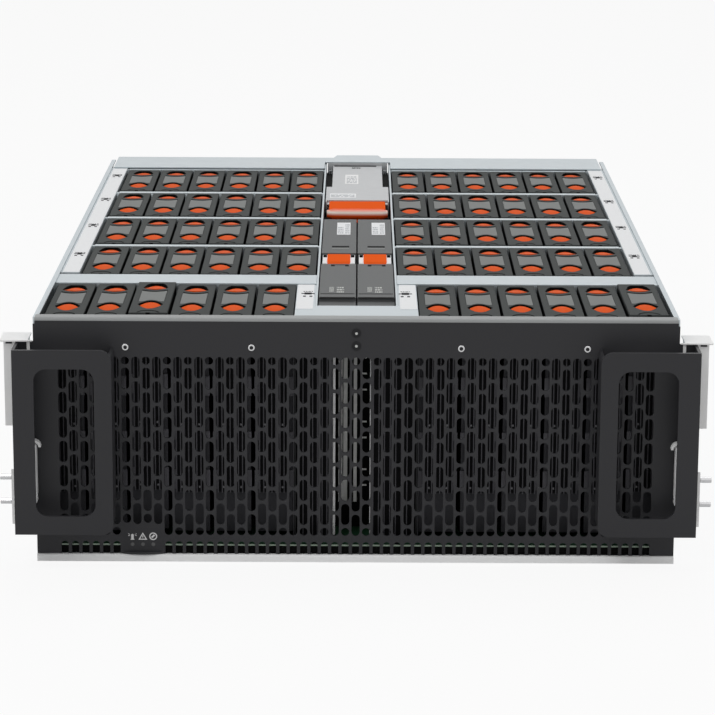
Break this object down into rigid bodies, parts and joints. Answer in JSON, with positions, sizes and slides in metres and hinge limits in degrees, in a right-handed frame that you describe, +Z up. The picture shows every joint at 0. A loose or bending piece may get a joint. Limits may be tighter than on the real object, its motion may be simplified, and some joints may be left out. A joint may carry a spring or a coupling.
{
  "type": "rack disk shelf enclosure",
  "caption": "Four-unit rack disk shelf with a perforated black bezel, rows of upright drives with orange finger pads, a centre channel of lift-out modules and rear fans.",
  "frame": {"origin": "middle of the overall width and depth, on the underside of the tray", "axes": "+X to the right seen from the front, +Y from the front to the rear, +Z up"},
  "size_m": [0.4988, 0.7186, 0.1752],
  "materials": {
    "zinc_steel": "satin zinc-plated sheet",
    "black_steel": "fine black powder coat",
    "board_green": "satin",
    "connector_black": "matt",
    "label_white": "satin",
    "rivet_metal": "nickel-plated",
    "screw_black": "black oxide",
    "light_pipe": "clear over dark",
    "fan_black": "matt",
    "port_metal": "satin",
    "carrier_grey": "fine-textured dark grey",
    "disk_metal": "cast",
    "orange_plastic": "smooth orange",
    "module_grey": "fine-textured dark grey",
    "io_metal": "satin",
    "psu_metal": "satin",
    "release_green": "matt"
  },
  "bodies": {
    "chassis": {"chassis_tray": "zinc_steel", "drive_cage": "zinc_steel", "cross_brace": "zinc_steel", "centre_channel": "zinc_steel", "centre_plate": "zinc_steel", "rear_panel": "zinc_steel", "rear_cover": "zinc_steel", "rack_brackets": "zinc_steel", "baseboards": "board_green", "drive_connectors": "connector_black", "blank_labels": "label_white", "front_bezel": "black_steel", "handle_left": "black_steel", "handle_right": "black_steel", "bezel_rivets": "rivet_metal", "rack_pins": "rivet_metal", "rack_catch_pivots": "rivet_metal", "bezel_screws": "screw_black", "indicator_lights": "light_pipe", "fan_frames": "fan_black", "io_ports": "port_metal"},
    "drive_a01": {"drive_a01_carrier": "carrier_grey", "drive_a01_disk": "disk_metal"},
    "drive_a01_front_pad": {"drive_a01_pad_front": "orange_plastic"},
    "drive_a01_rear_pad": {"drive_a01_pad_rear": "orange_plastic"},
    "module_left": {"module_left": "module_grey"},
    "module_lever_left": {"module_lever_left": "orange_plastic"},
    "module_right": {"module_right": "module_grey"},
    "module_lever_right": {"module_lever_right": "orange_plastic"},
    "io_module": {"io_module": "io_metal"},
    "io_pull_bar": {"io_pull_bar": "orange_plastic"},
    "psu_lower": {"psu_lower": "psu_metal"},
    "psu_release_lower": {"psu_release_lower": "release_green"},
    "psu_upper": {"psu_upper": "psu_metal"},
    "psu_release_upper": {"psu_release_upper": "release_green"},
    "fan_rotor_1": {"fan_rotor_1": "fan_black"},
    "fan_rotor_2": {"fan_rotor_2": "fan_black"},
    "fan_rotor_3": {"fan_rotor_3": "fan_black"},
    "fan_rotor_4": {"fan_rotor_4": "fan_black"},
    "rack_catch_left": {"rack_catch_left": "rivet_metal"},
    "rack_catch_right": {"rack_catch_right": "rivet_metal"},
    "drives_b_left": {"drives_b_left": "carrier_grey"},
    "drives_b_right": {"drives_b_right": "carrier_grey"},
    "drives_c_left": {"drives_c_left": "carrier_grey"},
    "drives_c_right": {"drives_c_right": "carrier_grey"},
    "drives_d_left": {"drives_d_left": "carrier_grey"},
    "drives_d_right": {"drives_d_right": "carrier_grey"},
    "drives_e_left": {"drives_e_left": "carrier_grey"},
    "drives_e_right": {"drives_e_right": "carrier_grey"},
    "drive_a02": {"drive_a02": "carrier_grey"},
    "drive_a03": {"drive_a03": "carrier_grey"},
    "drive_a04": {"drive_a04": "carrier_grey"},
    "drive_a05": {"drive_a05": "carrier_grey"},
    "drive_a06": {"drive_a06": "carrier_grey"},
    "drive_a07": {"drive_a07": "carrier_grey"},
    "drive_a08": {"drive_a08": "carrier_grey"},
    "drive_a09": {"drive_a09": "carrier_grey"},
    "drive_a10": {"drive_a10": "carrier_grey"},
    "drive_a11": {"drive_a11": "carrier_grey"},
    "drive_a12": {"drive_a12": "carrier_grey"}
  },
  "joints": [
    {"name": "drive_a01_lift", "type": "slide", "parent": "chassis", "child": "drive_a01", "axis": [0, 0, 1], "range_m": [0, 0.17]},
    {"name": "drive_a01_front_pinch", "type": "slide", "parent": "drive_a01", "child": "drive_a01_front_pad", "axis": [0, 1, 0], "range_m": [0, 0.0025], "stiffness_N_per_m": 200},
    {"name": "drive_a01_rear_pinch", "type": "slide", "parent": "drive_a01", "child": "drive_a01_rear_pad", "axis": [0, -1, 0], "range_m": [0, 0.0025], "stiffness_N_per_m": 200},
    {"name": "module_left_lift", "type": "slide", "parent": "chassis", "child": "module_left", "axis": [0, 0, 1], "range_m": [0, 0.17]},
    {"name": "module_left_lever", "type": "hinge", "parent": "module_left", "child": "module_lever_left", "pos_m": [-0.0139, -0.09225, 0.16895], "axis": [-1, 0, 0], "range_deg": [0, 60]},
    {"name": "module_right_lift", "type": "slide", "parent": "chassis", "child": "module_right", "axis": [0, 0, 1], "range_m": [0, 0.17]},
    {"name": "module_right_lever", "type": "hinge", "parent": "module_right", "child": "module_lever_right", "pos_m": [0.0139, -0.09225, 0.16895], "axis": [-1, 0, 0], "range_deg": [0, 60]},
    {"name": "io_module_lift", "type": "slide", "parent": "chassis", "child": "io_module", "axis": [0, 0, 1], "range_m": [0, 0.09]},
    {"name": "io_pull_bar_swing", "type": "hinge", "parent": "io_module", "child": "io_pull_bar", "pos_m": [0, 0.13725, 0.16895], "axis": [-1, 0, 0], "range_deg": [0, 70]},
    {"name": "psu_lower_slide", "type": "slide", "parent": "chassis", "child": "psu_lower", "axis": [0, 1, 0], "range_m": [0, 0.2]},
    {"name": "psu_lower_release", "type": "slide", "parent": "psu_lower", "child": "psu_release_lower", "axis": [-1, 0, 0], "range_m": [0, 0.002], "stiffness_N_per_m": 300},
    {"name": "psu_upper_slide", "type": "slide", "parent": "chassis", "child": "psu_upper", "axis": [0, 1, 0], "range_m": [0, 0.2]},
    {"name": "psu_upper_release", "type": "slide", "parent": "psu_upper", "child": "psu_release_upper", "axis": [-1, 0, 0], "range_m": [0, 0.002], "stiffness_N_per_m": 300},
    {"name": "fan_1_spin", "type": "hinge", "parent": "chassis", "child": "fan_rotor_1", "pos_m": [-0.1715, 0.32105, 0.088], "axis": [0, 1, 0], "continuous": true},
    {"name": "fan_2_spin", "type": "hinge", "parent": "chassis", "child": "fan_rotor_2", "pos_m": [-0.0775, 0.32105, 0.088], "axis": [0, 1, 0], "continuous": true},
    {"name": "fan_3_spin", "type": "hinge", "parent": "chassis", "child": "fan_rotor_3", "pos_m": [0.0775, 0.32105, 0.088], "axis": [0, 1, 0], "continuous": true},
    {"name": "fan_4_spin", "type": "hinge", "parent": "chassis", "child": "fan_rotor_4", "pos_m": [0.1715, 0.32105, 0.088], "axis": [0, 1, 0], "continuous": true},
    {"name": "rack_catch_left_pull", "type": "hinge", "parent": "chassis", "child": "rack_catch_left", "pos_m": [-0.2228, -0.34425, 0.0505], "axis": [1, 0, 0], "range_deg": [0, 10], "stiffness_Nm_per_rad": 0.3},
    {"name": "rack_catch_right_pull", "type": "hinge", "parent": "chassis", "child": "rack_catch_right", "pos_m": [0.2228, -0.34425, 0.0505], "axis": [1, 0, 0], "range_deg": [0, 10], "stiffness_Nm_per_rad": 0.3},
    {"name": "drives_b_left_lift", "type": "slide", "parent": "chassis", "child": "drives_b_left", "axis": [0, 0, 1], "range_m": [0, 0.17]},
    {"name": "drives_b_right_lift", "type": "slide", "parent": "chassis", "child": "drives_b_right", "axis": [0, 0, 1], "range_m": [0, 0.17]},
    {"name": "drives_c_left_lift", "type": "slide", "parent": "chassis", "child": "drives_c_left", "axis": [0, 0, 1], "range_m": [0, 0.17]},
    {"name": "drives_c_right_lift", "type": "slide", "parent": "chassis", "child": "drives_c_right", "axis": [0, 0, 1], "range_m": [0, 0.17]},
    {"name": "drives_d_left_lift", "type": "slide", "parent": "chassis", "child": "drives_d_left", "axis": [0, 0, 1], "range_m": [0, 0.17]},
    {"name": "drives_d_right_lift", "type": "slide", "parent": "chassis", "child": "drives_d_right", "axis": [0, 0, 1], "range_m": [0, 0.17]},
    {"name": "drives_e_left_lift", "type": "slide", "parent": "chassis", "child": "drives_e_left", "axis": [0, 0, 1], "range_m": [0, 0.17]},
    {"name": "drives_e_right_lift", "type": "slide", "parent": "chassis", "child": "drives_e_right", "axis": [0, 0, 1], "range_m": [0, 0.17]},
    {"name": "drive_a02_lift", "type": "slide", "parent": "chassis", "child": "drive_a02", "axis": [0, 0, 1], "range_m": [0, 0.17]},
    {"name": "drive_a03_lift", "type": "slide", "parent": "chassis", "child": "drive_a03", "axis": [0, 0, 1], "range_m": [0, 0.17]},
    {"name": "drive_a04_lift", "type": "slide", "parent": "chassis", "child": "drive_a04", "axis": [0, 0, 1], "range_m": [0, 0.17]},
    {"name": "drive_a05_lift", "type": "slide", "parent": "chassis", "child": "drive_a05", "axis": [0, 0, 1], "range_m": [0, 0.17]},
    {"name": "drive_a06_lift", "type": "slide", "parent": "chassis", "child": "drive_a06", "axis": [0, 0, 1], "range_m": [0, 0.17]},
    {"name": "drive_a07_lift", "type": "slide", "parent": "chassis", "child": "drive_a07", "axis": [0, 0, 1], "range_m": [0, 0.17]},
    {"name": "drive_a08_lift", "type": "slide", "parent": "chassis", "child": "drive_a08", "axis": [0, 0, 1], "range_m": [0, 0.17]},
    {"name": "drive_a09_lift", "type": "slide", "parent": "chassis", "child": "drive_a09", "axis": [0, 0, 1], "range_m": [0, 0.17]},
    {"name": "drive_a10_lift", "type": "slide", "parent": "chassis", "child": "drive_a10", "axis": [0, 0, 1], "range_m": [0, 0.17]},
    {"name": "drive_a11_lift", "type": "slide", "parent": "chassis", "child": "drive_a11", "axis": [0, 0, 1], "range_m": [0, 0.17]},
    {"name": "drive_a12_lift", "type": "slide", "parent": "chassis", "child": "drive_a12", "axis": [0, 0, 1], "range_m": [0, 0.17]}
  ]
}
